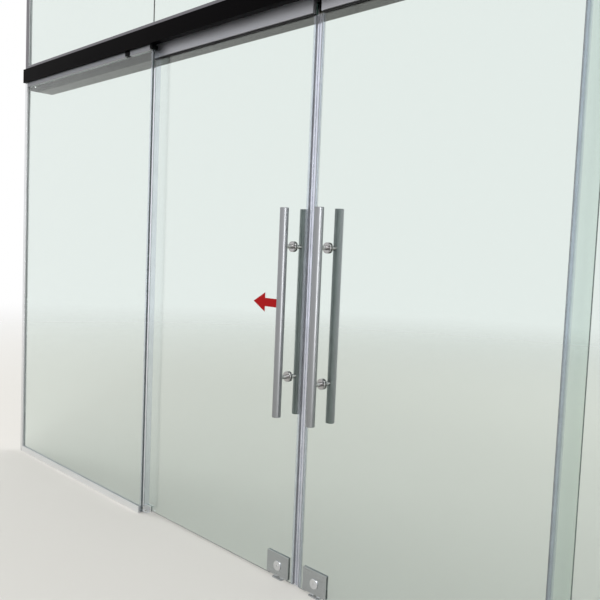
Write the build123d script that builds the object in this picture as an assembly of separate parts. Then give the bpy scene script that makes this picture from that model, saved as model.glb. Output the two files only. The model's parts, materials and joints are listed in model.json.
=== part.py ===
from build123d import *
import math
import os

os.makedirs("parts", exist_ok=True)

# A frameless glass entrance: two sliding leaves hung under a header, a fixed pane at
# each side and fixed glass above. Sizes are millimetres. The origin is on the finished
# floor, at the middle of the doorway, in the plane of the fixed glass. X runs along the
# front, Y into the building and Z up. Pieces are built on the right-hand side, and the
# left-hand ones are their mirror images.

# Overall sizes
front_width = 5360.0
transom_height = 570.0
doorway_width = 2310.0
header_underside = 2493.0
glass_thickness = 10.0
leaf_set_back = 52.0
leaf_overlap = 55.0
leaf_floor_gap = 8.0
leaf_travel = 940.0
running_gap = 0.3
shaft_clearance = 0.05

# Fixed glass and the channels that hold it
channel_width = 30.0
channel_wall = 2.5
floor_channel_leg = 34.0
head_channel_leg = 28.0
jamb_channel_leg = 30.0
transom_channel_leg = 22.0
transom_jamb_leg = 38.0
glass_edge_gap = 4.5
pane_joint = 3.0
head_clamp_width = 46.0
head_clamp_from_edge = 211.0
head_clamp_height = 24.0
head_clamp_round = 8.0
corner_clamp_past_edge = 10.0
corner_clamp_over_pane = 13.0
head_clamp_wall = 13.0
block_length = 80.0
strip_height = 8.0
end_fill = 8.0
end_fill_gap = 0.5

# Clear profiles on the glass edges
seal_wall = 1.5
seal_leg = 12.0
seal_nose = 17.25
meeting_gap = 1.5
fin_gap = 2.0
seal_end_gap = 2.0

# Header
header_front = 30.0
fascia_sheet = 2.0
beam_depth = 36.0
beam_wall = 3.0
cover_sheet = 2.0
header_depth = 180.0
cover_drop = 43.0
cover_lip = 16.0
cover_gap = 7.0
end_plate = 5.0
end_hole_radius = 5.5
end_hole_spacing_y = 100.0
end_hole_spacing_z = 70.0
end_hole_offset = 20.0
end_plate_relief = 5.0

# Clamp rail on the top edge of a leaf
rail_below_header = 55.0
rail_height = 68.0
rail_thickness = 40.0
rail_jaw = 8.0
rail_web = 10.0
rail_jaw_gap = 2.0
rail_cap = 3.0
rail_setback = 6.0
rail_grip = 45.0
gasket_show = 6.0
gasket_grip = 50.0
clamp_bolt_count = 5
clamp_bolt_radius = 5.0
clamp_bolt_from_end = 90.0
clamp_bolt_height = 27.0
clamp_head_radius = 9.0
clamp_head_height = 5.0
clamp_thread = 4.0
glass_hole_radius = 8.0

# Track, wheels and hangers
track_wall = 4.0
track_clearance = 8.0
track_top_gap = 1.0
bead_width = 6.0
bead_height = 7.0
bead_offset = 18.0
wheel_tread_radius = 22.0
wheel_flange = 4.0
wheel_width = 14.0
wheel_side_gap = 1.0
wheel_headroom = 6.7
axle_radius = 6.0
axle_head_radius = 9.0
axle_head = 3.0
boss_radius = 10.0
hanger_plate = 6.0
hanger_length = 120.0
hanger_flange = 22.0
hanger_from_end = 200.0
hanger_margin = 2.0
hanger_offset = 1.0
hanger_bolt_radius = 4.0
hanger_bolt_spacing = 80.0
hanger_bolt_grip = 8.0
hex_head_height = 5.3
stop_length = 30.0
stop_width = 22.0
stop_height = 42.0
stop_gap = 0.5
track_bolt_radius = 3.0
track_bolt_head_radius = 5.0
track_bolt_head = 4.0
track_bolt_count = 9

# Floor guides and the keepers of the floor locks
guide_length = 56.0
guide_past_edge = 23.0
guide_height = 34.0
guide_base = 4.0
guide_cheek = 10.0
guide_glass_gap = 1.2
guide_screw_radius = 2.75
guide_screw_out = 7.0
guide_screw_edge = 7.0
keeper_length = 60.0
keeper_width = 26.0
keeper_clearance = 3.0
keeper_hole_gap = 2.5

# Pull handles
pull_length = 900.0
pull_radius = 19.0
pull_wall = 1.5
pull_end_plate = 3.0
pull_bottom = 740.0
pull_from_middle = 103.0
pull_stand_off = 62.0
post_spacing = 565.0
post_rise = 4.0
post_radius = 9.0
post_vent_radius = 4.0
stud_radius = 5.0
stud_reach = 14.0
rosette_radius = 23.0
rosette_thickness = 6.0

# Floor locks
lock_from_middle = 114.0
lock_width = 136.0
lock_height = 102.0
lock_bottom = 14.0
lock_cover = 5.0
lock_cover_wall = 1.5
lock_body_length = 100.0
lock_body_height = 84.0
lock_body_thickness = 16.0
lock_body_lift = 2.0
lock_notch_gap = 3.0
cylinder_height = 60.0
collar_radius = 22.0
collar_proud = 4.0
collar_hole_gap = 0.3
plug_radius = 10.0
plug_proud = 0.4
keyway_width = 2.0
keyway_height = 9.0
keyway_depth = 3.0
knob_length = 36.0
knob_width = 11.0
knob_depth = 16.0
bolt_radius = 5.0
bolt_clearance = 0.2
bolt_length = 36.0
bolt_rest_height = 12.0

# Direction arrow on the left leaf
arrow_tip = 346.0
arrow_neck = 268.0
arrow_tail = 165.0
arrow_head_height = 88.0
arrow_shaft_height = 38.0
arrow_middle = 1224.0
arrow_film = 0.4

# Places that follow from the sizes above
wall_x = front_width / 2
edge_x = doorway_width / 2
half_glass = glass_thickness / 2
half_channel = channel_width / 2
channel_inside = half_channel - channel_wall
leaf_y = leaf_set_back
leaf_front = leaf_y - half_glass
leaf_back = leaf_y + half_glass
lead_x = meeting_gap / 2 + seal_nose
rail_lead = lead_x + rail_setback
trail_x = edge_x + leaf_overlap
rail_bottom = header_underside - rail_below_header
rail_top = rail_bottom + rail_height
rail_front = leaf_y - rail_thickness / 2
rail_back = leaf_y + rail_thickness / 2
glass_top = rail_bottom + rail_grip
arm_bottom = rail_top + track_clearance
arm_top = arm_bottom + track_wall
bead_top = arm_top + bead_height
bead_y = leaf_y - bead_offset
wheel_z = bead_top + running_gap + wheel_tread_radius
wheel_radius = wheel_tread_radius + wheel_flange
header_top = wheel_z + wheel_radius + wheel_headroom
front_height = header_top + transom_height
beam_front = fascia_sheet - header_front
beam_back = beam_front + beam_depth
beam_bottom = header_underside + fascia_sheet
beam_top = header_top - fascia_sheet
cover_bottom = header_underside - cover_drop
inner_wall_x = wall_x - end_plate
hanger_front = leaf_y - hanger_plate + hanger_offset
hanger_xs = (rail_lead + hanger_from_end, trail_x - hanger_from_end)
guide_inner_x = edge_x - guide_past_edge
lock_x = lock_from_middle
lock_front = leaf_front - lock_cover
lock_back = leaf_back + lock_cover
body_front = leaf_y - lock_body_thickness / 2
body_back = leaf_y + lock_body_thickness / 2
post_zs = [pull_bottom + pull_length / 2 + post_rise + k * post_spacing / 2 for k in (-1, 1)]


# Small helpers

def block(x, y, z):
    """A box between two limits along each axis."""
    middle = Pos((x[0] + x[1]) / 2, (y[0] + y[1]) / 2, (z[0] + z[1]) / 2)
    return middle * Box(x[1] - x[0], y[1] - y[0], z[1] - z[0])


def rod_y(x, z, y, radius):
    """A round bar along Y."""
    return Pos(x, (y[0] + y[1]) / 2, z) * Rot(90, 0, 0) * Cylinder(radius, y[1] - y[0])


def rod_z(x, y, z, radius):
    """A round bar along Z."""
    return Pos(x, y, (z[0] + z[1]) / 2) * Cylinder(radius, z[1] - z[0])


def hexagon_z(x, y, z, across_flats):
    """A hexagonal bar along Z."""
    outline = RegularPolygon(across_flats / 2, 6, major_radius=False)
    return Pos(x, y, z[0]) * extrude(outline, z[1] - z[0])


def mirrored(shapes):
    """The same pieces for the other side of the doorway."""
    return [mirror(shape, about=Plane.YZ) for shape in shapes]


def save(node, shapes):
    """Write one sub-part, as one solid or a group of separate solids."""
    solids = [solid for shape in shapes for solid in shape.solids()]
    export_step(solids[0] if len(solids) == 1 else Compound(solids), f"parts/{node}.step")


def save_pair(node, shapes):
    """Write a sub-part whose solids stand on both sides of the doorway."""
    save(node, shapes + mirrored(shapes))


def save_sides(node, shapes):
    """Write the right-hand sub-part and its left-hand mirror image as two nodes."""
    save(f"right_{node}", shapes)
    save(f"left_{node}", mirrored(shapes))


# Channels

def channel_along_x(x, z, opens_up):
    """A U channel that runs along the front and opens up or down."""
    hollow_z = (z[0] + channel_wall, z[1]) if opens_up else (z[0], z[1] - channel_wall)
    outside = block(x, (-half_channel, half_channel), z)
    return outside - block(x, (-channel_inside, channel_inside), hollow_z)


def channel_up_wall(leg, z):
    """A U channel up the right-hand wall that opens towards the doorway."""
    outside = block((wall_x - leg, wall_x), (-half_channel, half_channel), z)
    hollow_x = (wall_x - leg, wall_x - channel_wall)
    return outside - block(hollow_x, (-channel_inside, channel_inside), z)


floor_channel_x = (edge_x + seal_leg + seal_wall, wall_x - jamb_channel_leg)
head_channel_z = (header_underside - head_channel_leg, header_underside)
clamp_x = (edge_x + head_clamp_from_edge, edge_x + head_clamp_from_edge + head_clamp_width)
head_long_x = (clamp_x[1], wall_x - jamb_channel_leg)
corner_x = (edge_x - corner_clamp_past_edge, edge_x + corner_clamp_over_pane)
clamp_z = (header_underside - head_clamp_height, header_underside)
head_short_x = (corner_x[1], clamp_x[0])
transom_sill_z = (header_top, header_top + transom_channel_leg)
transom_head_z = (front_height - transom_channel_leg, front_height)
transom_jamb_z = (transom_sill_z[1], transom_head_z[0])


def floor_channel():
    return channel_along_x(floor_channel_x, (0, floor_channel_leg), True)


def jamb_channel():
    return channel_up_wall(jamb_channel_leg, (0, header_underside))


def head_channels():
    """A long and a short length, with a black clamp between them and one at the corner."""
    return [channel_along_x(x, head_channel_z, False) for x in (head_long_x, head_short_x)]


def head_clamp(x):
    """A black block that grips the top edge of the side pane, with round lower corners."""
    half = half_glass + head_clamp_wall
    clamp = block(x, (-half, half), clamp_z)
    clamp = fillet(clamp.edges().filter_by(Axis.Y).group_by(Axis.Z)[0], head_clamp_round)
    slot_x = (max(x[0], edge_x), x[1])
    return clamp - block(slot_x, (-half_glass, half_glass), (clamp_z[0], pane_z[1]))


def transom_channels():
    """The sill and head along the whole front and an upright at each wall."""
    along = (-wall_x, wall_x)
    sill = channel_along_x(along, transom_sill_z, True)
    head = channel_along_x(along, transom_head_z, False)
    upright = channel_up_wall(transom_jamb_leg, transom_jamb_z)
    return [sill, head, upright] + mirrored([upright])


# Fixed glass

pane_z = (channel_wall + glass_edge_gap, header_underside - channel_wall - glass_edge_gap)
pane_x = (edge_x, wall_x - channel_wall - glass_edge_gap)
transom_z = (header_top + channel_wall + glass_edge_gap,
             front_height - channel_wall - glass_edge_gap)


def sidelite_glass():
    return block(pane_x, (-half_glass, half_glass), pane_z)


def transom_panes():
    """A middle pane over the doorway and one over each side pane."""
    middle = block((-edge_x, edge_x), (-half_glass, half_glass), transom_z)
    side = block((edge_x + pane_joint, pane_x[1]), (-half_glass, half_glass), transom_z)
    return [middle, side] + mirrored([side])


def setting_blocks():
    """Two blocks under each pane, on the floor of its channel."""
    side = (channel_wall, channel_wall + glass_edge_gap)
    above = (header_top + channel_wall, header_top + channel_wall + glass_edge_gap)
    blocks = []
    for span, z in ((floor_channel_x, side), ((edge_x + pane_joint, pane_x[1]), above)):
        for share in (0.2, 0.8):
            x = span[0] + share * (span[1] - span[0])
            ends = (x - block_length / 2, x + block_length / 2)
            blocks.append(block(ends, (-channel_inside, channel_inside), z))
    x = 0.6 * edge_x
    ends = (x - block_length / 2, x + block_length / 2)
    blocks.append(block(ends, (-channel_inside, channel_inside), above))
    return blocks


def strips_along(x, z):
    """The pair of rubber strips between glass and channel, along X or up Z."""
    front = block(x, (-channel_inside, -half_glass), z)
    back = block(x, (half_glass, channel_inside), z)
    return [front, back]


def channel_end_fill():
    """The bed that closes a floor channel at the doorway, round the foot of the pane."""
    x = (floor_channel_x[0], floor_channel_x[0] + end_fill)
    z = (channel_wall, floor_channel_leg - strip_height - end_fill_gap)
    fill = block(x, (-channel_inside, channel_inside), z)
    return fill - block(x, (-half_glass, half_glass), (pane_z[0], z[1]))


def glazing_strips():
    """Strips in the mouths of the channels, and the joints between the top panes."""
    strips = strips_along(floor_channel_x, (floor_channel_leg - strip_height, floor_channel_leg))
    strips.append(channel_end_fill())
    head_z = (head_channel_z[0], head_channel_z[0] + strip_height)
    strips += strips_along(head_long_x, head_z) + strips_along(head_short_x, head_z)
    mouth = (wall_x - jamb_channel_leg, wall_x - jamb_channel_leg + strip_height)
    strips += strips_along(mouth, (0, header_underside))
    mouth = (wall_x - transom_jamb_leg, wall_x - transom_jamb_leg + strip_height)
    strips += strips_along(mouth, transom_jamb_z)
    joint_x = (edge_x, edge_x + pane_joint)
    joint_z = (transom_sill_z[1], transom_head_z[0])
    strips.append(block(joint_x, (-half_glass, half_glass), joint_z))
    return strips


def transom_strips():
    """The long rubber strips in the sill and head of the glass above the header."""
    along = (-wall_x, wall_x)
    sill = strips_along(along, (transom_sill_z[1] - strip_height, transom_sill_z[1]))
    return sill + strips_along(along, (transom_head_z[0], transom_head_z[0] + strip_height))


def edge_seal():
    """A clear clip on the free edge of the side pane, with a fin towards the leaf."""
    clip_y = half_glass + seal_wall
    clip_z = (pane_z[0], head_channel_z[0])
    outside = block((edge_x - seal_wall, edge_x + seal_leg), (-clip_y, clip_y), clip_z)
    clip = outside - block((edge_x, edge_x + seal_leg), (-half_glass, half_glass), clip_z)
    fin_x = (edge_x - seal_wall, edge_x)
    low_z = (guide_height + 2 * fin_gap, rail_bottom - gasket_show - 2 * fin_gap)
    low = block(fin_x, (0, leaf_front - fin_gap), low_z)
    high = block(fin_x, (0, rail_front - fin_gap), (low_z[0], clamp_z[0] - seal_end_gap))
    return clip + low + high - block(pane_x, (-half_glass, half_glass), pane_z)


# Header

def header_beam():
    """A rectangular steel tube from wall to wall."""
    x = (-inner_wall_x, inner_wall_x)
    tube = block(x, (beam_front, beam_back), (beam_bottom, beam_top))
    inside_y = (beam_front + beam_wall, beam_back - beam_wall)
    return tube - block(x, inside_y, (beam_bottom + beam_wall, beam_top - beam_wall))


def header_fascia():
    """A black sheet folded round the front, top and underside of the beam."""
    x = (-inner_wall_x, inner_wall_x)
    sheet = block(x, (-header_front, beam_back), (header_underside, header_top))
    return sheet - block(x, (beam_front, beam_back), (beam_bottom, beam_top))


def header_cover():
    """Three sheets on the inside: a top, a back panel and a soffit with a turned-up lip."""
    x = (-inner_wall_x, inner_wall_x)
    lip_y = rail_back + cover_gap
    top_z = (header_top - cover_sheet, header_top)
    back_y = (header_depth - cover_sheet, header_depth)
    soffit_z = (cover_bottom, cover_bottom + cover_sheet)
    top = block(x, (beam_back, header_depth), top_z)
    back = block(x, back_y, (soffit_z[1], top_z[0]))
    soffit = block(x, (lip_y, header_depth), soffit_z)
    lip = block(x, (lip_y, lip_y + cover_sheet), (cover_bottom, cover_bottom + cover_lip))
    return [top, back, soffit + lip]


end_bolt_y = (rail_back + cover_gap + header_depth) / 2 - end_hole_offset
end_bolt_z = (cover_bottom + header_top) / 2


def header_end_plate():
    """The plate that closes the header and bolts it to the wall."""
    x = (inner_wall_x, wall_x)
    front = block(x, (-header_front, header_depth), (header_underside, header_top))
    back_y = (half_channel + end_plate_relief, header_depth)
    plate = front + block(x, back_y, (cover_bottom, header_top))
    for along in (-0.5, 0.5):
        for up in (-0.5, 0.5):
            y = end_bolt_y + along * end_hole_spacing_y
            z = end_bolt_z + up * end_hole_spacing_z
            hole = Pos(wall_x - end_plate / 2, y, z) * Rot(0, 90, 0)
            plate -= hole * Cylinder(end_hole_radius, 2 * end_plate)
    return plate


def track():
    """The extruded track: a web on the back of the beam, an arm and the bead it carries."""
    x = (-inner_wall_x, inner_wall_x)
    web = block(x, (beam_back, beam_back + track_wall), (arm_bottom, beam_top - track_top_gap))
    arm = block(x, (beam_back, bead_y + bead_width), (arm_bottom, arm_top))
    half_bead = bead_width / 2
    stem = block(x, (bead_y - half_bead, bead_y + half_bead), (arm_top, bead_top - half_bead))
    crown = Pos(0, bead_y, bead_top - half_bead) * Rot(0, 90, 0)
    return web + arm + stem + crown * Cylinder(half_bead, 2 * inner_wall_x)


def track_bolt_x(index):
    """Where a track bolt stands along the front."""
    step = 2 * (inner_wall_x - hanger_from_end) / (track_bolt_count - 1)
    return hanger_from_end - inner_wall_x + index * step


def drill_for_track_bolts(piece):
    """Holes through the web of the track and the back wall of the beam."""
    y = (beam_back - beam_wall - 1.0, beam_back + track_wall + 1.0)
    for index in range(track_bolt_count):
        piece -= rod_y(track_bolt_x(index), wheel_z, y, track_bolt_radius)
    return piece


def track_bolts():
    """Round-headed bolts that hold the track on the beam."""
    web_face = beam_back + track_wall
    bolts = []
    for index in range(track_bolt_count):
        x = track_bolt_x(index)
        shank = rod_y(x, wheel_z, (beam_back - beam_wall, web_face), track_bolt_radius)
        head_y = (web_face, web_face + track_bolt_head)
        bolts.append(shank + rod_y(x, wheel_z, head_y, track_bolt_head_radius))
    return bolts


def track_stops():
    """Rubber blocks on the track that the wheels meet, shut and open."""
    shut_end = hanger_xs[0] - wheel_radius - stop_gap
    open_start = hanger_xs[1] + leaf_travel + wheel_radius + stop_gap
    y = (bead_y - stop_width / 2, bead_y + stop_width / 2)
    z = (arm_top, arm_top + stop_height)
    slot_y = (bead_y - bead_width / 2, bead_y + bead_width / 2)
    stops = []
    for x in ((shut_end - stop_length, shut_end), (open_start, open_start + stop_length)):
        stop = block(x, y, z)
        stops.append(stop - block(x, slot_y, (arm_top, bead_top)))
    return stops


# Floor pieces

def floor_guide():
    """A foot against the floor channel, with two cheeks that keep the leaf in line."""
    x = (guide_inner_x, guide_inner_x + guide_length)
    slot = half_glass + guide_glass_gap
    reach = slot + guide_cheek + guide_screw_out + guide_screw_edge
    guide = block(x, (half_channel, leaf_y + reach), (0, guide_base))
    for way in (-1, 1):
        near = leaf_y + way * slot
        far = near + way * guide_cheek
        cheek = block(x, (min(near, far), max(near, far)), (0, guide_height))
        top = cheek.edges().filter_by(Axis.X).group_by(Axis.Z)[-1]
        guide += chamfer(top, guide_glass_gap)
        screw_y = far + way * guide_screw_out
        middle_x = (x[0] + x[1]) / 2
        guide -= rod_z(middle_x, screw_y, (-1, guide_base + 1), guide_screw_radius)
    return guide


def floor_keeper():
    """A low plate on the floor, over a drilled hole, that takes the lock's bolt."""
    x = (lock_x - keeper_length / 2, lock_x + keeper_length / 2)
    y = (leaf_y - keeper_width / 2, leaf_y + keeper_width / 2)
    keeper = block(x, y, (0, leaf_floor_gap - keeper_clearance))
    keeper = fillet(keeper.edges().filter_by(Axis.Z), keeper_width / 5)
    top = keeper.faces().sort_by(Axis.Z)[-1]
    keeper = chamfer(top.edges(), keeper_clearance / 3)
    return keeper - rod_z(lock_x, leaf_y, (-1, leaf_floor_gap), bolt_radius + keeper_hole_gap)


# Leaf glass and its clamp rail

def clamp_bolt_xs():
    """Where the clamp bolts stand along the rail."""
    first = rail_lead + clamp_bolt_from_end
    last = trail_x - clamp_bolt_from_end
    step = (last - first) / (clamp_bolt_count - 1)
    return [first + index * step for index in range(clamp_bolt_count)]


clamp_bolt_z = rail_bottom + clamp_bolt_height
rail_x = (rail_lead + rail_cap, trail_x - rail_cap)


def leaf_glass():
    """The sliding pane, with its holes and the notch for the floor lock."""
    pane = block((lead_x, trail_x), (leaf_front, leaf_back), (leaf_floor_gap, glass_top))
    through = (leaf_front - 1, leaf_back + 1)
    for x in clamp_bolt_xs():
        pane -= rod_y(x, clamp_bolt_z, through, glass_hole_radius)
    for z in post_zs:
        pane -= rod_y(pull_from_middle, z, through, glass_hole_radius)
    half = lock_body_length / 2 + lock_notch_gap
    notch_top = lock_bottom + lock_body_lift + lock_body_height + lock_notch_gap
    notch = block((lock_x - half, lock_x + half), through, (leaf_floor_gap - 1, notch_top))
    return pane - notch


def rail_outer():
    """The outer jaw: the face seen from the street and the web over the glass."""
    face = block(rail_x, (rail_front, rail_front + rail_jaw), (rail_bottom, rail_top))
    web = block(rail_x, (rail_front, rail_back), (rail_top - rail_web, rail_top))
    jaw = face + web
    thread_y = (rail_front + rail_jaw - clamp_thread, rail_front + rail_jaw + 1)
    for x in clamp_bolt_xs():
        jaw -= rod_y(x, clamp_bolt_z, thread_y, clamp_bolt_radius)
    for x, y in hanger_bolt_places():
        hole_z = (rail_top - hanger_bolt_grip, rail_top + 1)
        jaw -= rod_z(x, y, hole_z, hanger_bolt_radius)
    return jaw


def rail_inner():
    """The inner jaw that the bolts pull against the glass."""
    z = (rail_bottom, rail_top - rail_web - rail_jaw_gap)
    jaw = block(rail_x, (rail_back - rail_jaw, rail_back), z)
    for x in clamp_bolt_xs():
        jaw -= rod_y(x, clamp_bolt_z, (rail_back - rail_jaw - 1, rail_back), clamp_bolt_radius)
        head_y = (rail_back - clamp_head_height, rail_back + 1)
        jaw -= rod_y(x, clamp_bolt_z, head_y, clamp_head_radius)
    return jaw


def rail_gaskets():
    """Rubber linings between the jaws and the glass, showing below as a dark line."""
    z = (rail_bottom - gasket_show, rail_bottom - gasket_show + gasket_grip)
    linings = []
    for y in ((rail_front + rail_jaw, leaf_front), (leaf_back, rail_back - rail_jaw)):
        lining = block(rail_x, y, z)
        for x in clamp_bolt_xs():
            lining -= rod_y(x, clamp_bolt_z, (y[0] - 1, y[1] + 1), clamp_bolt_radius)
        linings.append(lining)
    return linings


def rail_bolts():
    """Clamp bolts through the jaws, and the bolts that hold the hangers."""
    bolts = []
    seat = rail_back - clamp_head_height
    for x in clamp_bolt_xs():
        shank_y = (rail_front + rail_jaw - clamp_thread, seat)
        head = rod_y(x, clamp_bolt_z, (seat, rail_back), clamp_head_radius)
        recess = Pos(x, rail_back, clamp_bolt_z) * Rot(90, 0, 0)
        socket = RegularPolygon(clamp_bolt_radius * 0.6, 6)
        head -= recess * extrude(socket, clamp_head_height / 2)
        bolts.append(rod_y(x, clamp_bolt_z, shank_y, clamp_bolt_radius) + head)
    flange_top = rail_top + hanger_plate
    for x, y in hanger_bolt_places():
        shank = rod_z(x, y, (rail_top - hanger_bolt_grip, flange_top), hanger_bolt_radius)
        head_z = (flange_top, flange_top + hex_head_height)
        bolts.append(shank + hexagon_z(x, y, head_z, 3.25 * hanger_bolt_radius))
    return bolts


def rail_end_caps():
    """A plate at each end of the rail, notched round the glass."""
    caps = []
    for x in ((rail_lead, rail_lead + rail_cap), (trail_x - rail_cap, trail_x)):
        cap = block(x, (rail_front, rail_back), (rail_bottom, rail_top))
        caps.append(cap - block(x, (leaf_front, leaf_back), (rail_bottom, glass_top)))
    return caps


# Hangers and wheels

def hanger_bolt_places():
    """Where the hanger bolts stand on the top of the rail."""
    y = hanger_front + hanger_plate + (hanger_flange - hanger_plate) / 2
    half = hanger_bolt_spacing / 2
    return [(x + way * half, y) for x in hanger_xs for way in (-1, 1)]


boss_end = bead_y + wheel_width / 2 + running_gap


def hanger(x):
    """An angle plate on the rail, with a boss for the axle."""
    along = (x - hanger_length / 2, x + hanger_length / 2)
    back = hanger_front + hanger_plate
    top_z = wheel_z + wheel_radius - hanger_margin
    upright = block(along, (hanger_front, back), (rail_top, top_z))
    corners = upright.edges().filter_by(Axis.Y).group_by(Axis.Z)[-1]
    upright = fillet(corners, wheel_radius / 2)
    flange_y = (hanger_front, hanger_front + hanger_flange)
    plate = upright + block(along, flange_y, (rail_top, rail_top + hanger_plate))
    plate += rod_y(x, wheel_z, (boss_end, hanger_front), boss_radius)
    plate -= rod_y(x, wheel_z, (boss_end - 1, back + 1), axle_radius)
    for bolt_x, bolt_y in hanger_bolt_places():
        hole_z = (rail_top - 1, rail_top + hanger_plate + 1)
        plate -= rod_z(bolt_x, bolt_y, hole_z, hanger_bolt_radius)
    return plate


def axle(x):
    """A headed stud that the wheel turns on, riveted into the hanger."""
    head_back = bead_y - wheel_width / 2 - running_gap
    stud = rod_y(x, wheel_z, (head_back, hanger_front + hanger_plate), axle_radius)
    return stud + rod_y(x, wheel_z, (head_back - axle_head, head_back), axle_head_radius)


def wheel(x):
    """A grooved wheel that runs on the bead of the track."""
    half = wheel_width / 2
    disc = rod_y(x, wheel_z, (bead_y - half, bead_y + half), wheel_radius)
    groove = bead_width / 2 + wheel_side_gap
    ring = rod_y(x, wheel_z, (bead_y - groove, bead_y + groove), wheel_radius + 1)
    ring -= rod_y(x, wheel_z, (bead_y - groove, bead_y + groove), wheel_tread_radius)
    bore = rod_y(x, wheel_z, (bead_y - wheel_width, bead_y + wheel_width),
                 axle_radius + shaft_clearance)
    return disc - ring - bore


# Meeting edge

def meeting_seal():
    """A clear clip on the leading edge with a hollow nose that meets its twin."""
    clip = half_glass + seal_wall
    z = (leaf_floor_gap + seal_end_gap, rail_bottom - gasket_show - seal_end_gap)
    legs = block((lead_x, lead_x + seal_leg), (leaf_y - clip, leaf_y + clip), z)
    legs -= block((lead_x, lead_x + seal_leg), (leaf_front, leaf_back), z)
    tip = meeting_gap / 2
    nose = block((tip, lead_x), (leaf_y - clip, leaf_y + clip), z)
    corners = nose.edges().filter_by(Axis.Z).group_by(Axis.X)[0]
    nose = fillet(corners, clip - seal_wall)
    inner = half_glass
    hollow = block((tip + seal_wall, lead_x - seal_wall), (leaf_y - inner, leaf_y + inner), z)
    corners = hollow.edges().filter_by(Axis.Z).group_by(Axis.X)[0]
    return legs + nose - fillet(corners, inner - seal_wall)


# Pull handles

def pull_tube(way):
    """A stainless tube with welded ends, outside (-1) or inside (1) the glass."""
    y = leaf_y + way * pull_stand_off
    z = (pull_bottom, pull_bottom + pull_length)
    tube = rod_z(pull_from_middle, y, z, pull_radius)
    tube = fillet(tube.edges().filter_by(GeomType.CIRCLE), pull_wall)
    inside_z = (z[0] + pull_end_plate, z[1] - pull_end_plate)
    tube -= rod_z(pull_from_middle, y, inside_z, pull_radius - pull_wall)
    vent_y = (min(y, y - way * pull_radius), max(y, y - way * pull_radius))
    for post_z in post_zs:
        tube -= rod_y(pull_from_middle, post_z, vent_y, post_vent_radius)
    return tube


rosette_front = leaf_front - rosette_thickness
rosette_back = leaf_back + rosette_thickness


def pull_posts():
    """Posts coped to the tubes; the outer ones carry the stud that goes through the glass."""
    tube_front = leaf_y - pull_stand_off
    tube_back = leaf_y + pull_stand_off
    tube_z = (pull_bottom, pull_bottom + pull_length)
    posts = []
    for z in post_zs:
        outer = rod_y(pull_from_middle, z, (tube_front, rosette_front), post_radius)
        outer -= rod_z(pull_from_middle, tube_front, tube_z, pull_radius)
        stud_y = (rosette_front, rosette_back + stud_reach)
        posts.append(outer + rod_y(pull_from_middle, z, stud_y, stud_radius))
        inner = rod_y(pull_from_middle, z, (rosette_back, tube_back), post_radius)
        inner -= rod_z(pull_from_middle, tube_back, tube_z, pull_radius)
        socket_y = (rosette_back, rosette_back + stud_reach + 1)
        inner -= rod_y(pull_from_middle, z, socket_y, stud_radius + shaft_clearance)
        posts.append(inner)
    return posts


def pull_rosettes():
    """A round disc on each face of the glass at every post."""
    discs = []
    for z in post_zs:
        for near, far in ((leaf_front, rosette_front), (leaf_back, rosette_back)):
            y = (min(near, far), max(near, far))
            disc = rod_y(pull_from_middle, z, y, rosette_radius)
            rim = disc.edges().filter_by(GeomType.CIRCLE).sort_by(Axis.Y)
            disc = fillet(rim[0] if far < near else rim[-1], rosette_thickness / 4)
            discs.append(disc - rod_y(pull_from_middle, z, y, stud_radius + shaft_clearance))
    return discs


# Floor locks

lock_x_range = (lock_x - lock_width / 2, lock_x + lock_width / 2)
lock_z_range = (lock_bottom, lock_bottom + lock_height)


def lock_plate(front):
    """A shallow pressed cover over one face of the lock."""
    y = (lock_front, leaf_front) if front else (leaf_back, lock_back)
    plate = block(lock_x_range, y, lock_z_range)
    plate = fillet(plate.edges().filter_by(Axis.Y), 2 * lock_cover_wall)
    faces = plate.faces().filter_by(Axis.Y).sort_by(Axis.Y)
    show = faces[0] if front else faces[-1]
    plate = fillet(show.edges(), lock_cover_wall / 2)
    wall = lock_cover_wall
    hollow_y = (y[0] + wall, y[1]) if front else (y[0], y[1] - wall)
    hollow_x = (lock_x_range[0] + wall, lock_x_range[1] - wall)
    hollow_z = (lock_z_range[0] + wall, lock_z_range[1] - wall)
    plate -= block(hollow_x, hollow_y, hollow_z)
    opening_y = (y[0] - 1, y[1] + 1)
    plate -= rod_y(lock_x, cylinder_height, opening_y, collar_radius + collar_hole_gap)
    bolt_way = (lock_bottom - 1, lock_bottom + lock_body_lift)
    return plate - rod_z(lock_x, leaf_y, bolt_way, bolt_radius + 2 * bolt_clearance)


def lock_body():
    """The case in the notch of the glass, with a round collar on each side."""
    x = (lock_x - lock_body_length / 2, lock_x + lock_body_length / 2)
    bottom = lock_bottom + lock_body_lift
    case = block(x, (body_front, body_back), (bottom, bottom + lock_body_height))
    collar_y = (lock_front - collar_proud, lock_back + collar_proud)
    collar = rod_y(lock_x, cylinder_height, collar_y, collar_radius)
    case += chamfer(collar.edges().filter_by(GeomType.CIRCLE), collar_proud / 4)
    case -= rod_y(lock_x, cylinder_height, (collar_y[0] - 1, collar_y[1] + 1),
                  plug_radius + shaft_clearance)
    return case - rod_z(lock_x, leaf_y, (bottom - 1, cylinder_height), bolt_radius + bolt_clearance)


def lock_turn():
    """The key plug outside and the thumb turn inside, on one spindle."""
    collar_y = (lock_front - collar_proud, lock_back + collar_proud)
    plug_y = (collar_y[0] - plug_proud, collar_y[1] + plug_proud)
    plug = rod_y(lock_x, cylinder_height, plug_y, plug_radius)
    key_x = (lock_x - keyway_width / 2, lock_x + keyway_width / 2)
    key_z = (cylinder_height - keyway_height / 2, cylinder_height + keyway_height / 2)
    plug -= block(key_x, (plug_y[0] - 1, plug_y[0] + keyway_depth), key_z)
    knob_x = (lock_x - knob_width / 2, lock_x + knob_width / 2)
    knob_z = (cylinder_height - knob_length / 2, cylinder_height + knob_length / 2)
    knob = block(knob_x, (plug_y[1], plug_y[1] + knob_depth), knob_z)
    return plug + fillet(knob.edges().filter_by(Axis.Y), knob_width / 3)


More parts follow.
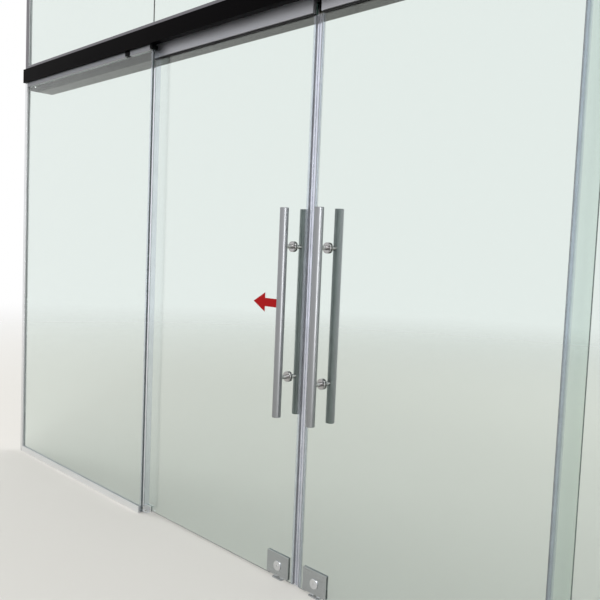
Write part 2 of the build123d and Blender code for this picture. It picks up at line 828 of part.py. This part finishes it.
def lock_bolt():
    """The round bolt that drops into the floor."""
    z = (bolt_rest_height, bolt_rest_height + bolt_length)
    bolt = rod_z(lock_x, leaf_y, z, bolt_radius)
    return chamfer(bolt.edges().filter_by(GeomType.CIRCLE), 1.0)


# Direction arrow

def arrow_sticker():
    """A film arrow on the outside of the leaf, pointing the way that the leaf opens."""
    head = arrow_head_height / 2
    shaft = arrow_shaft_height / 2
    outline = Polyline((arrow_tip, 0), (arrow_neck, head), (arrow_neck, shaft),
                       (arrow_tail, shaft), (arrow_tail, -shaft), (arrow_neck, -shaft),
                       (arrow_neck, -head), close=True)
    film = extrude(make_face(outline), arrow_film)
    return Pos(0, leaf_front, arrow_middle) * Rot(90, 0, 0) * film


# Frame
save("header_beam", [drill_for_track_bolts(header_beam())])
save("header_fascia", [header_fascia()])
save("header_cover", header_cover())
save_pair("header_end_plates", [header_end_plate()])
save("track", [drill_for_track_bolts(track())])
save("track_bolts", track_bolts())
save_pair("track_stops", track_stops())
save_sides("sidelite_glass", [sidelite_glass()])
save_pair("floor_channels", [floor_channel()])
save_pair("jamb_channels", [jamb_channel()])
save_pair("head_channels", head_channels())
save_pair("head_clamps", [head_clamp(clamp_x), head_clamp(corner_x)])
save_pair("edge_seals", [edge_seal()])
save("transom_panes", transom_panes())
save("transom_channels", transom_channels())
save_pair("setting_blocks", setting_blocks())
strips = glazing_strips()
save("glazing_strips", strips + mirrored(strips) + transom_strips())
save_pair("floor_guides", [floor_guide()])
save_pair("floor_keepers", [floor_keeper()])

# Leaves
save_sides("leaf_glass", [leaf_glass()])
save_sides("rail_outer", [rail_outer()])
save_sides("rail_inner", [rail_inner()])
save_sides("rail_gaskets", rail_gaskets())
save_sides("rail_bolts", rail_bolts())
save_sides("rail_end_caps", rail_end_caps())
save_sides("hangers", [hanger(x) for x in hanger_xs] + [axle(x) for x in hanger_xs])
save_sides("wheel_lead", [wheel(hanger_xs[0])])
save_sides("wheel_trail", [wheel(hanger_xs[1])])
save_sides("meeting_seal", [meeting_seal()])
save_sides("pull_outside", [pull_tube(-1)])
save_sides("pull_inside", [pull_tube(1)])
save_sides("pull_posts", pull_posts())
save_sides("pull_rosettes", pull_rosettes())
save_sides("lock_outer_plate", [lock_plate(True)])
save_sides("lock_inner_plate", [lock_plate(False)])
save_sides("lock_body", [lock_body()])
save_sides("lock_turn", [lock_turn()])
save_sides("lock_bolt", [lock_bolt()])
save("left_arrow_sticker", mirrored([arrow_sticker()]))
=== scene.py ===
import json
import math

import bmesh
import bpy
from mathutils import Matrix, Vector

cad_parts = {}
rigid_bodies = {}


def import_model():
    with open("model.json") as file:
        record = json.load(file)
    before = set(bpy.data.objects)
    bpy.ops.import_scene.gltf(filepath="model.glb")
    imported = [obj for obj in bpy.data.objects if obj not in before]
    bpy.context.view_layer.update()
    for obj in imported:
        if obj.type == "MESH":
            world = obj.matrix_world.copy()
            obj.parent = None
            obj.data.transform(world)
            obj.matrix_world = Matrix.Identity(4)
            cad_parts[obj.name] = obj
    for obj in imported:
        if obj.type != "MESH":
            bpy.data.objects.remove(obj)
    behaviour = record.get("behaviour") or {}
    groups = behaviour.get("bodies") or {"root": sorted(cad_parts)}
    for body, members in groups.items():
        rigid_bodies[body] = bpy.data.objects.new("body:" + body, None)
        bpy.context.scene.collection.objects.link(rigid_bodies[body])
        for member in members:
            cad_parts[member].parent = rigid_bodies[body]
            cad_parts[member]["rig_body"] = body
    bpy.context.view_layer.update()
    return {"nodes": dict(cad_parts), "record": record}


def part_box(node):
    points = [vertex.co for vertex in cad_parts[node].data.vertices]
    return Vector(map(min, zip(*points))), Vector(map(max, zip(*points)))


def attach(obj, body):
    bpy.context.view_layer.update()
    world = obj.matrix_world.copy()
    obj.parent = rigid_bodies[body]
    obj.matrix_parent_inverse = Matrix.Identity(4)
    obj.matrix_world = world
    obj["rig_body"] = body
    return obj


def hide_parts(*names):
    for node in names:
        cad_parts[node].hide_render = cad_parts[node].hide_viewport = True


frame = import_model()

# A sliding glass entrance: two hung leaves between fixed panes, under a black header, with
# fixed glass above. Lengths are metres unless a name ends in _mm.

bpy.context.scene.view_settings.view_transform = "Standard"
leaves = ("left", "right")


def colour(code):
    """Turns an sRGB hex colour into linear values."""
    parts = [int(code[i:i + 2], 16) / 255 for i in (1, 3, 5)]
    linear = [c / 12.92 if c <= 0.04045 else ((c + 0.055) / 1.055) ** 2.4 for c in parts]
    return (*linear, 1.0)


def add(tree, kind, values=None, links=None, **settings):
    """Adds a node to a tree, with its settings, its input values and its links."""
    node = tree.nodes.new(kind)
    for name, value in settings.items():
        setattr(node, name, value)
    for name, value in (values or {}).items():
        node.inputs[name].default_value = value
    for name, source in (links or {}).items():
        tree.links.new(source, node.inputs[name])
    return node


def start_material(name):
    """An empty material with an output, and the coordinates of the piece."""
    material = bpy.data.materials.new(name)
    material.use_nodes = True
    tree = material.node_tree
    tree.nodes.clear()
    output = add(tree, "ShaderNodeOutputMaterial")
    place = add(tree, "ShaderNodeTexCoord").outputs["Object"]
    return material, tree, output, place


def finish_material(tree, output, shader_values, shader_links):
    """The surface shader, linked to the output."""
    shader = add(tree, "ShaderNodeBsdfPrincipled", shader_values, shader_links)
    tree.links.new(shader.outputs["BSDF"], output.inputs["Surface"])


# Finishes

glass_ior = 1.52


def toughened_glass():
    """Clear float glass, toughened on rollers: a faint green body, a slow waviness about
    300 mm long that bends the reflections, and a thin film of dust."""
    waves_per_m, wave_depth = 3.3, 0.0006
    smears_per_m, most_dust = 9.0, 0.03
    material, tree, output, place = start_material("toughened_float_glass")
    wave = add(tree, "ShaderNodeTexNoise", {"Scale": waves_per_m, "Detail": 1.0},
               {"Vector": place})
    bump = add(tree, "ShaderNodeBump", {"Strength": 0.05, "Distance": wave_depth},
               {"Height": wave.outputs["Fac"]})
    film = add(tree, "ShaderNodeTexNoise", {"Scale": smears_per_m, "Detail": 4.0},
               {"Vector": place})
    dust = add(tree, "ShaderNodeMapRange", {"To Min": 0.0, "To Max": most_dust},
               {"Value": film.outputs["Fac"]})
    body = {"Base Color": colour("#e2ebe7"), "Transmission Weight": 1.0, "IOR": glass_ior}
    finish_material(tree, output, body,
                    {"Normal": bump.outputs["Normal"], "Roughness": dust.outputs["Result"]})
    return material


def ground_glass_edge(name, code, clear):
    """The ground and polished edge of a pane, where the iron in the glass shows as green.
    The wheel's marks are about 6 mm wide and 0.2 mm deep."""
    marks_per_m, mark_depth = 160.0, 0.0002
    least_rough, most_rough = 0.12, 0.3
    material, tree, output, place = start_material(name)
    grind = add(tree, "ShaderNodeTexNoise", {"Scale": marks_per_m, "Detail": 3.0},
                {"Vector": place})
    haze = add(tree, "ShaderNodeMapRange", {"To Min": least_rough, "To Max": most_rough},
               {"Value": grind.outputs["Fac"]})
    bump = add(tree, "ShaderNodeBump", {"Strength": 0.15, "Distance": mark_depth},
               {"Height": grind.outputs["Fac"]})
    body = {"Base Color": colour(code), "Transmission Weight": clear, "IOR": glass_ior}
    finish_material(tree, output, body,
                    {"Normal": bump.outputs["Normal"], "Roughness": haze.outputs["Result"]})
    return material


def extruded_metal(name, code, rough, along, line_mm=1.5, depth_mm=0.02, shade_low=0.85):
    """Metal with fine lines along its length, from the die or the brush. The real lines are
    some 0.2 mm apart and are drawn wider, so that they show."""
    line_stretch, clouds_per_m = 150, 6.0
    material, tree, output, place = start_material(name)
    across = 1 / (line_mm / 1000)
    scale = [across, across, across]
    scale["XYZ".index(along)] = across / line_stretch
    lay = add(tree, "ShaderNodeMapping", {"Scale": scale}, {"Vector": place})
    lines = add(tree, "ShaderNodeTexNoise", {"Scale": 1.0, "Detail": 3.0, "Roughness": 0.6},
                {"Vector": lay.outputs["Vector"]})
    cloud = add(tree, "ShaderNodeTexNoise", {"Scale": clouds_per_m, "Detail": 3.0},
                {"Vector": place})
    both = add(tree, "ShaderNodeMath", {}, {0: lines.outputs["Fac"], 1: cloud.outputs["Fac"]},
               operation="MULTIPLY")
    spread = add(tree, "ShaderNodeMapRange",
                 {"From Min": 0.1, "From Max": 0.45, "To Min": rough[0], "To Max": rough[1]},
                 {"Value": both.outputs["Value"]})
    light, dark = Vector(colour(code)), Vector(colour(code)) * shade_low
    shade = add(tree, "ShaderNodeMix",
                {"A": (*dark[:3], 1.0), "B": (*light[:3], 1.0)},
                {"Factor": lines.outputs["Fac"]}, data_type="RGBA")
    bump = add(tree, "ShaderNodeBump", {"Strength": 0.4, "Distance": depth_mm / 1000},
               {"Height": lines.outputs["Fac"]})
    finish_material(tree, output, {"Metallic": 1.0},
                    {"Base Color": shade.outputs["Result"], "Roughness": spread.outputs["Result"],
                     "Normal": bump.outputs["Normal"]})
    return material


def coated_metal(name, code, rough, shine, peel_mm=3.0, peel_depth_mm=0.05):
    """Baked coating on sheet metal, with the slight orange peel that the spray leaves."""
    clouds_per_m = 5.0
    material, tree, output, place = start_material(name)
    peel = add(tree, "ShaderNodeTexNoise", {"Scale": 1000 / peel_mm, "Detail": 2.0},
               {"Vector": place})
    cloud = add(tree, "ShaderNodeTexNoise", {"Scale": clouds_per_m, "Detail": 4.0},
                {"Vector": place})
    spread = add(tree, "ShaderNodeMapRange", {"To Min": rough * 0.85, "To Max": rough * 1.2},
                 {"Value": cloud.outputs["Fac"]})
    light, dark = Vector(colour(code)) * 1.15, Vector(colour(code)) * 0.85
    shade = add(tree, "ShaderNodeMix", {"A": (*dark[:3], 1.0), "B": (*light[:3], 1.0)},
                {"Factor": cloud.outputs["Fac"]}, data_type="RGBA")
    bump = add(tree, "ShaderNodeBump", {"Strength": 0.3, "Distance": peel_depth_mm / 1000},
               {"Height": peel.outputs["Fac"]})
    finish_material(tree, output, {"Specular IOR Level": shine},
                    {"Base Color": shade.outputs["Result"], "Roughness": spread.outputs["Result"],
                     "Normal": bump.outputs["Normal"]})
    return material


def moulded(name, code, rough, grain_mm, values=None):
    """Rubber or plastic from a mould or a die, with a fine grain and uneven gloss."""
    clouds_per_m, grain_depth = 12.0, 0.0001
    material, tree, output, place = start_material(name)
    grain = add(tree, "ShaderNodeTexNoise", {"Scale": 1000 / grain_mm, "Detail": 3.0},
                {"Vector": place})
    cloud = add(tree, "ShaderNodeTexNoise", {"Scale": clouds_per_m, "Detail": 3.0},
                {"Vector": place})
    spread = add(tree, "ShaderNodeMapRange", {"To Min": rough * 0.8, "To Max": rough * 1.15},
                 {"Value": cloud.outputs["Fac"]})
    light, dark = Vector(colour(code)) * 1.1, Vector(colour(code)) * 0.9
    shade = add(tree, "ShaderNodeMix", {"A": (*dark[:3], 1.0), "B": (*light[:3], 1.0)},
                {"Factor": cloud.outputs["Fac"]}, data_type="RGBA")
    bump = add(tree, "ShaderNodeBump", {"Strength": 0.3, "Distance": grain_depth},
               {"Height": grain.outputs["Fac"]})
    finish_material(tree, output, values or {},
                    {"Base Color": shade.outputs["Result"], "Roughness": spread.outputs["Result"],
                     "Normal": bump.outputs["Normal"]})
    return material


# What each finish gives the eye is said above it

# Clear and faintly green, with reflections that waver a little
glass = toughened_glass()
# A green line that draws the outline of each pane
glass_edge = ground_glass_edge("polished_glass_edge", "#4d6a63", 0.55)
# Painted shade: an opaque near-black edge under each pane, a thin dark line for the shadow gap
# where a leaf stands over the floor
shaded_foot_edge = ground_glass_edge("painted_shade_pane_foot", "#0b100e", 0.0)

satin = (0.3, 0.46)
bright = (0.2, 0.34)

# Soft light grey with faint long lines, the paler band under the header
rail_finish = extruded_metal("satin_anodised_rail", "#b4b5ba", (0.38, 0.54), "X",
                             depth_mm=0.03)
# The same satin, darkened as painted shade for the shadow the fixed channels stand in, so that
# they stand back from the rails
head_finish_painted_shade = extruded_metal("satin_anodised_channel_painted_shade", "#88898d", satin, "X", depth_mm=0.03)
# Nearly white and dull, a light line along the floor
channel_finish = extruded_metal("bright_aluminium_channel", "#f2f3f4", (0.4, 0.55), "X")
# A clean light line up the wall, with more shine than the floor has
upright_finish = extruded_metal("bright_aluminium_upright", "#e6e7e9", bright, "Z")
# A dim grey edge between the header and the glass over it
top_channel_finish = extruded_metal("satin_aluminium_top_channel", "#77757a", satin, "X",
                                    depth_mm=0.03)
# Raw and uneven grey with coarse lines, seen only inside the header
mill_finish = extruded_metal("mill_aluminium", "#a9abad", (0.3, 0.5), "X", depth_mm=0.05)
# Long soft highlights down the handles, broken by fine brush lines; the grey is stainless
# darkened by a painted reflection of dark surroundings
tube_finish_dark_reflection = extruded_metal("brushed_stainless_tube_painted_reflection", "#96989b", (0.28, 0.42), "Z",
                             line_mm=1.2, depth_mm=0.01, shade_low=0.92)
# Small sharp glints on the posts and discs
disc_finish = extruded_metal("turned_stainless", "#b4b3b3", (0.14, 0.24), "X", depth_mm=0.01)
# A cool even sheen across the lock plates, with the brush lines lying flat
plate_finish = extruded_metal("brushed_stainless_plate", "#b6babc", bright, "X")
# The brightest metal, almost a mirror, round the key
cylinder_finish = extruded_metal("plated_brass_cylinder", "#e4e5e8", (0.06, 0.14), "X",
                                 line_mm=2.0, depth_mm=0.005)
# Slightly yellow and cloudy, as bolts and hangers are
zinc_finish = extruded_metal("zinc_plated_steel", "#b2b0a6", (0.3, 0.45), "Z", line_mm=3.0)
# A flat black band across the whole front, with hardly any shine
header_black = coated_metal("black_baked_coating", "#040304", 0.4, shine=0.015)
# A dark bronze grey that shows through the glass as a dim band
cover_bronze = coated_metal("grey_bronze_coating", "#3a392f", 0.45, shine=0.2)
# Small black blocks that break the pale channel
clamp_black = coated_metal("black_anodised_clamp", "#030304", 0.4, shine=0.03,
                           peel_mm=1.5, peel_depth_mm=0.02)
# Dull and even, as steel that will be covered
primer_grey = coated_metal("grey_primer", "#5c5d5f", 0.6, shine=0.5)
# Soft black without glints, thin lines between panes and under them
rubber = moulded("black_epdm_rubber", "#111112", 0.7, 0.8)
# A pale line between glass and channel that keeps both light
silicone = moulded("grey_silicone_bed", "#c3c6c8", 0.4, 1.0)
# Warm off-white wheels with a low gloss
nylon = moulded("turned_nylon", "#cfccc2", 0.45, 0.6)
# Cool and clear, seen mostly by its bent edges along the glass
clear_pvc = moulded("clear_pvc_seal", "#eceef5", 0.06, 6.0,
                    {"Transmission Weight": 0.96, "IOR": 1.35})
# The one strong colour, a flat red without depth
red_film = moulded("printed_vinyl_film", "#a30c10", 0.45, 0.5, {"Specular IOR Level": 0.1})


# Pieces made from the solids

weld_reach = 0.00001
flat_within = math.radians(0.4)
sharp_from = math.radians(32)
eased_from = math.radians(50)
straight = 0.9


def loose_copy(node):
    """The solid's mesh with its corners joined and its flat faces whole."""
    source = frame["nodes"][node].data
    shape = bmesh.new()
    shape.from_mesh(source)
    bmesh.ops.remove_doubles(shape, verts=shape.verts, dist=weld_reach)
    bmesh.ops.dissolve_limit(shape, angle_limit=flat_within, verts=shape.verts,
                             edges=shape.edges)
    corners = [v.co.copy() for v in shape.verts]
    faces = [[v.index for v in face.verts] for face in shape.faces]
    shape.free()
    mesh = bpy.data.meshes.new(node)
    mesh.from_pydata(corners, [], faces)
    return mesh


def plain_mesh(piece):
    """The piece's mesh with its modifiers in it."""
    view = bpy.context.evaluated_depsgraph_get()
    return bpy.data.meshes.new_from_object(piece.evaluated_get(view))


def dress(node, materials, edge_mm=0.0, pick=None, gap_mm=0.0):
    """Stands in for a solid, with its sharp edges eased and its finish on. What is clear, or
    is seen through a pane, stays a hair's breadth off the glass, as it does in life."""
    piece = bpy.data.objects.new(f"{node}_dressed", loose_copy(node))
    bpy.context.scene.collection.objects.link(piece)
    for material in materials:
        piece.data.materials.append(material)
    piece.data.shade_smooth()
    if gap_mm:
        gap = piece.modifiers.new("gap", "DISPLACE")
        gap.mid_level = 0.0
        gap.strength = -gap_mm / 1000
        piece.data = plain_mesh(piece)
        piece.modifiers.clear()
    if edge_mm:
        easing = piece.modifiers.new("easing", "BEVEL")
        easing.width = edge_mm / 1000
        easing.segments = 2
        easing.limit_method = "ANGLE"
        easing.angle_limit = eased_from
        easing.harden_normals = True
        piece.data = plain_mesh(piece)
        piece.modifiers.clear()
    else:
        piece.data.set_sharp_from_angle(angle=sharp_from)
    if pick:
        for face in piece.data.polygons:
            face.material_index = pick(face)
    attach(piece, frame["nodes"][node]["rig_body"])
    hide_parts(node)
    return piece


def finish(node, material):
    """Puts a finish on a solid that is shown as it is."""
    mesh = frame["nodes"][node].data
    mesh.materials.clear()
    mesh.materials.append(material)


def face_or_edge(face):
    """The first material on the faces of a pane, the second on its edges, and the third, painted
    shade, on the edge that stands over the floor."""
    if abs(face.normal.y) > straight:
        return 0
    return 2 if face.normal.z < -straight else 1


header_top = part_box("header_fascia")[1].z
pane_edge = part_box("right_sidelite_glass")[0].x
joint_reach = 0.01


def joint_or_bed(face):
    """The first material in the joints of the top panes, and the second in the channels."""
    beside = abs(abs(face.center.x) - pane_edge) < joint_reach
    return 0 if beside and face.center.z > header_top else 1


panes = ["left_sidelite_glass", "right_sidelite_glass", "transom_panes"]
panes += [f"{side}_leaf_glass" for side in leaves]
for pane in panes:
    dress(pane, [glass, glass_edge, shaded_foot_edge], 1.0, pick=face_or_edge)

dress("header_fascia", [header_black], 0.8)
dress("floor_channels", [channel_finish], 0.6)
dress("jamb_channels", [upright_finish], 0.6)
dress("head_channels", [head_finish_painted_shade], 0.6)
dress("head_clamps", [clamp_black], 2.0)
dress("floor_guides", [channel_finish], 0.8)
for side in leaves:
    dress(f"{side}_rail_outer", [rail_finish], 1.2)
    dress(f"{side}_rail_end_caps", [rail_finish], 0.5)
    dress(f"{side}_pull_outside", [tube_finish_dark_reflection])
    dress(f"{side}_pull_inside", [tube_finish_dark_reflection])
    dress(f"{side}_pull_posts", [disc_finish])
    dress(f"{side}_pull_rosettes", [disc_finish])
    dress(f"{side}_lock_body", [cylinder_finish])
    dress(f"{side}_lock_turn", [cylinder_finish], 0.3)

dress("edge_seals", [clear_pvc], gap_mm=0.15)
dress("left_arrow_sticker", [red_film], gap_mm=0.1)
for side in leaves:
    dress(f"{side}_meeting_seal", [clear_pvc], gap_mm=0.15)
dress("glazing_strips", [rubber, silicone], pick=joint_or_bed)

finishes = {
    "header_cover": cover_bronze, "transom_channels": top_channel_finish,
    "header_beam": primer_grey, "header_end_plates": header_black, "track": mill_finish,
    "track_bolts": zinc_finish, "track_stops": rubber,
    "setting_blocks": rubber, "floor_keepers": plate_finish,
}
leaf_finishes = {
    "rail_inner": rail_finish, "rail_gaskets": rubber, "rail_bolts": zinc_finish,
    "hangers": zinc_finish, "wheel_lead": nylon, "wheel_trail": nylon,
    "lock_outer_plate": plate_finish,
    "lock_inner_plate": plate_finish, "lock_bolt": zinc_finish,
}
for side in leaves:
    finishes.update({f"{side}_{name}": finish_of for name, finish_of in leaf_finishes.items()})
for node, material in finishes.items():
    finish(node, material)


# Screws

def screw_tree():
    """Round heads with a driver's recess, one on each point that comes in."""
    tree = bpy.data.node_groups.new("screw_heads", "GeometryNodeTree")
    face = tree.interface
    face.new_socket("Places", in_out="INPUT", socket_type="NodeSocketGeometry")
    sizes = {}
    for name, kind, value in (("Head radius", "NodeSocketFloat", 0.0045),
                              ("Head height", "NodeSocketFloat", 0.0022),
                              ("Recess depth", "NodeSocketFloat", 0.0014),
                              ("Direction", "NodeSocketVector", (0, 0, 1)),
                              ("Finish", "NodeSocketMaterial", None)):
        socket = face.new_socket(name, in_out="INPUT", socket_type=kind)
        if value is not None:
            socket.default_value = value
        sizes[name] = socket.identifier
    face.new_socket("Screws", in_out="OUTPUT", socket_type="NodeSocketGeometry")
    given = add(tree, "NodeGroupInput").outputs
    head = add(tree, "GeometryNodeMeshCylinder", {"Vertices": 24},
               {"Radius": given["Head radius"], "Depth": given["Head height"]})
    rim = add(tree, "GeometryNodeExtrudeMesh", {"Offset Scale": 0.0},
              {"Mesh": head.outputs["Mesh"], "Selection": head.outputs["Top"]})
    inner = add(tree, "GeometryNodeScaleElements", {"Scale": 0.5},
                {"Geometry": rim.outputs["Mesh"], "Selection": rim.outputs["Top"]})
    down = add(tree, "ShaderNodeMath", {1: -1.0}, {0: given["Recess depth"]},
               operation="MULTIPLY")
    recess = add(tree, "GeometryNodeExtrudeMesh", {},
                 {"Mesh": inner.outputs["Geometry"], "Selection": rim.outputs["Top"],
                  "Offset Scale": down.outputs["Value"]})
    half = add(tree, "ShaderNodeMath", {1: 0.5}, {0: given["Head height"]},
               operation="MULTIPLY")
    up = add(tree, "ShaderNodeCombineXYZ", {}, {"Z": half.outputs["Value"]})
    seated = add(tree, "GeometryNodeTransform", {},
                 {"Geometry": recess.outputs["Mesh"], "Translation": up.outputs["Vector"]})
    points = add(tree, "GeometryNodeMeshToPoints", {}, {"Mesh": given["Places"]})
    turn = add(tree, "FunctionNodeAlignRotationToVector", {}, {"Vector": given["Direction"]},
               axis="Z")
    heads = add(tree, "GeometryNodeInstanceOnPoints", {},
                {"Points": points.outputs["Points"], "Instance": seated.outputs["Geometry"],
                 "Rotation": turn.outputs["Rotation"]})
    real = add(tree, "GeometryNodeRealizeInstances", {}, {"Geometry": heads.outputs["Instances"]})
    done = add(tree, "GeometryNodeSetMaterial", {},
               {"Geometry": real.outputs["Geometry"], "Material": given["Finish"]})
    add(tree, "NodeGroupOutput", {}, {"Screws": done.outputs["Geometry"]})
    return tree, sizes


screws, screw_sizes = screw_tree()


def screw_row(name, places, direction, radius_mm, height_mm):
    """Screw heads at these places, as one plain piece on the frame."""
    recess_share = 0.6
    points = bpy.data.meshes.new(f"{name}_places")
    points.from_pydata([Vector(p) for p in places], [], [])
    piece = bpy.data.objects.new(name, points)
    bpy.context.scene.collection.objects.link(piece)
    maker = piece.modifiers.new("screws", "NODES")
    maker.node_group = screws
    maker[screw_sizes["Head radius"]] = radius_mm / 1000
    maker[screw_sizes["Head height"]] = height_mm / 1000
    maker[screw_sizes["Recess depth"]] = height_mm * recess_share / 1000
    maker[screw_sizes["Direction"]] = direction
    maker[screw_sizes["Finish"]] = zinc_finish
    piece.data = plain_mesh(piece)
    piece.modifiers.clear()
    piece.data.shade_smooth()
    piece.data.set_sharp_from_angle(angle=sharp_from)
    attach(piece, "frame")
    return piece


mounts = {mount["name"]: mount for mount in frame["record"]["mounts"]}
guide_base = 0.004
guide_places = []
for side in leaves:
    mount = mounts[f"{side}_guide_screws"]
    half_spacing = mount["dims"]["spacing_y_mm"] / 2000
    x, y, z = mount["pos_m"]
    guide_places += [(x, y - half_spacing, guide_base), (x, y + half_spacing, guide_base)]
screw_row("floor_guide_screws", guide_places, (0, 0, 1), 4.5, 2.2)

cover_low, cover_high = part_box("header_cover")
cover_columns = 10
cover_inset = 0.012
cover_places = []
for column in range(cover_columns):
    share = (column + 0.5) / cover_columns
    x = cover_low.x + share * (cover_high.x - cover_low.x)
    for z in (cover_low.z + cover_inset, cover_high.z - cover_inset):
        cover_places.append((x, cover_high.y, z))
screw_row("header_cover_screws", cover_places, (0, 1, 0), 4.0, 1.8)


# Camera, as the photo was taken

camera_place = (2.1391, -2.1040, 1.4694)
turn_left = math.radians(45.4365)
tilt_down = math.radians(4.0811)
roll_over = math.radians(2.3853)
lens_mm = 43.22
film_mm = 36.0

camera = bpy.data.objects.new("camera", bpy.data.cameras.new("camera"))
bpy.context.scene.collection.objects.link(camera)
camera.data.lens = lens_mm
camera.data.sensor_width = film_mm
camera.data.clip_start = 0.05
camera.data.clip_end = 200.0
turned = Matrix.Rotation(turn_left, 4, "Z")
tilted = Matrix.Rotation(math.pi / 2 - tilt_down, 4, "X")
rolled = Matrix.Rotation(roll_over, 4, "Z")
camera.matrix_world = Matrix.Translation(camera_place) @ turned @ tilted @ rolled
bpy.context.scene.camera = camera


# Floor, world and lamps

def pale_floor():
    """A plain pale floor that fades into the background far away."""
    fade_from, fade_to = 3.5, 15.0
    material, tree, output, place = start_material("pale_floor")
    distance = add(tree, "ShaderNodeVectorMath", {}, {0: place}, operation="LENGTH")
    fade = add(tree, "ShaderNodeMapRange", {"From Min": fade_from, "From Max": fade_to},
               {"Value": distance.outputs["Value"]}, interpolation_type="SMOOTHSTEP")
    cover = add(tree, "ShaderNodeBsdfPrincipled",
                {"Base Color": colour("#dddbd6"), "Roughness": 0.9, "Specular IOR Level": 0.0})
    away = add(tree, "ShaderNodeBsdfTransparent")
    blend = add(tree, "ShaderNodeMixShader", {},
                {0: fade.outputs["Result"], 1: cover.outputs["BSDF"], 2: away.outputs["BSDF"]})
    tree.links.new(blend.outputs["Shader"], output.inputs["Surface"])
    return material


floor_reach = 20.0
below_part = 0.0005
floor_corners = [(-floor_reach, -floor_reach, 0), (floor_reach, -floor_reach, 0),
                 (floor_reach, floor_reach, 0), (-floor_reach, floor_reach, 0)]
floor_mesh = bpy.data.meshes.new("floor")
floor_mesh.from_pydata(floor_corners, [], [(0, 1, 2, 3)])
floor_mesh.materials.append(pale_floor())
floor = bpy.data.objects.new("floor", floor_mesh)
floor.location.z = -below_part
bpy.context.scene.collection.objects.link(floor)

world = bpy.data.worlds.new("studio")
bpy.context.scene.world = world
world.use_nodes = True
sky = world.node_tree
sky.nodes.clear()
path = add(sky, "ShaderNodeLightPath").outputs
seen = add(sky, "ShaderNodeMath", {}, {0: path["Is Camera Ray"], 1: path["Is Glossy Ray"]},
           operation="MAXIMUM")
shown = add(sky, "ShaderNodeMath", {},
            {0: seen.outputs["Value"], 1: path["Is Transmission Ray"]}, operation="MAXIMUM")
plain_white = (1, 1, 1, 1)
soft = add(sky, "ShaderNodeBackground", {"Color": plain_white, "Strength": 0.8})
white = add(sky, "ShaderNodeBackground", {"Color": plain_white, "Strength": 1.0})
either = add(sky, "ShaderNodeMixShader", {},
             {0: shown.outputs["Value"], 1: soft.outputs["Background"],
              2: white.outputs["Background"]})
add(sky, "ShaderNodeOutputWorld", {}, {"Surface": either.outputs["Shader"]})


def lamp(name, place, target, size, watts, in_light=True, in_shine=True):
    """A soft lamp at a place, turned towards a target, with its width and height. It may
    light what is dull and show in what shines, and is never seen through the glass."""
    light = bpy.data.lights.new(name, "AREA")
    light.shape = "RECTANGLE"
    light.size, light.size_y = size
    light.energy = watts
    holder = bpy.data.objects.new(name, light)
    bpy.context.scene.collection.objects.link(holder)
    holder.location = place
    holder.rotation_mode = "QUATERNION"
    holder.rotation_quaternion = (Vector(target) - Vector(place)).to_track_quat("-Z", "Y")
    holder.visible_diffuse = in_light
    holder.visible_glossy = in_shine
    holder.visible_transmission = False


lamp("key_lamp", (4.5, -6.0, 7.5), (0.0, 0.0, 1.0), (3.5, 3.5), 320)
# This one only draws the long highlights down the handles
lamp("side_lamp", (6.3, -2.3, 1.7), (0.0, 0.0, 1.2), (1.8, 3.4), 140, in_light=False)
lamp("fill_lamp", (-11.0, -3.0, 7.0), (-1.0, 0.0, 1.0), (4.0, 4.0), 300, in_shine=False)
lamp("back_lamp", (2.0, 7.5, 7.0), (0.0, 0.0, 1.0), (4.0, 4.0), 220, in_shine=False)
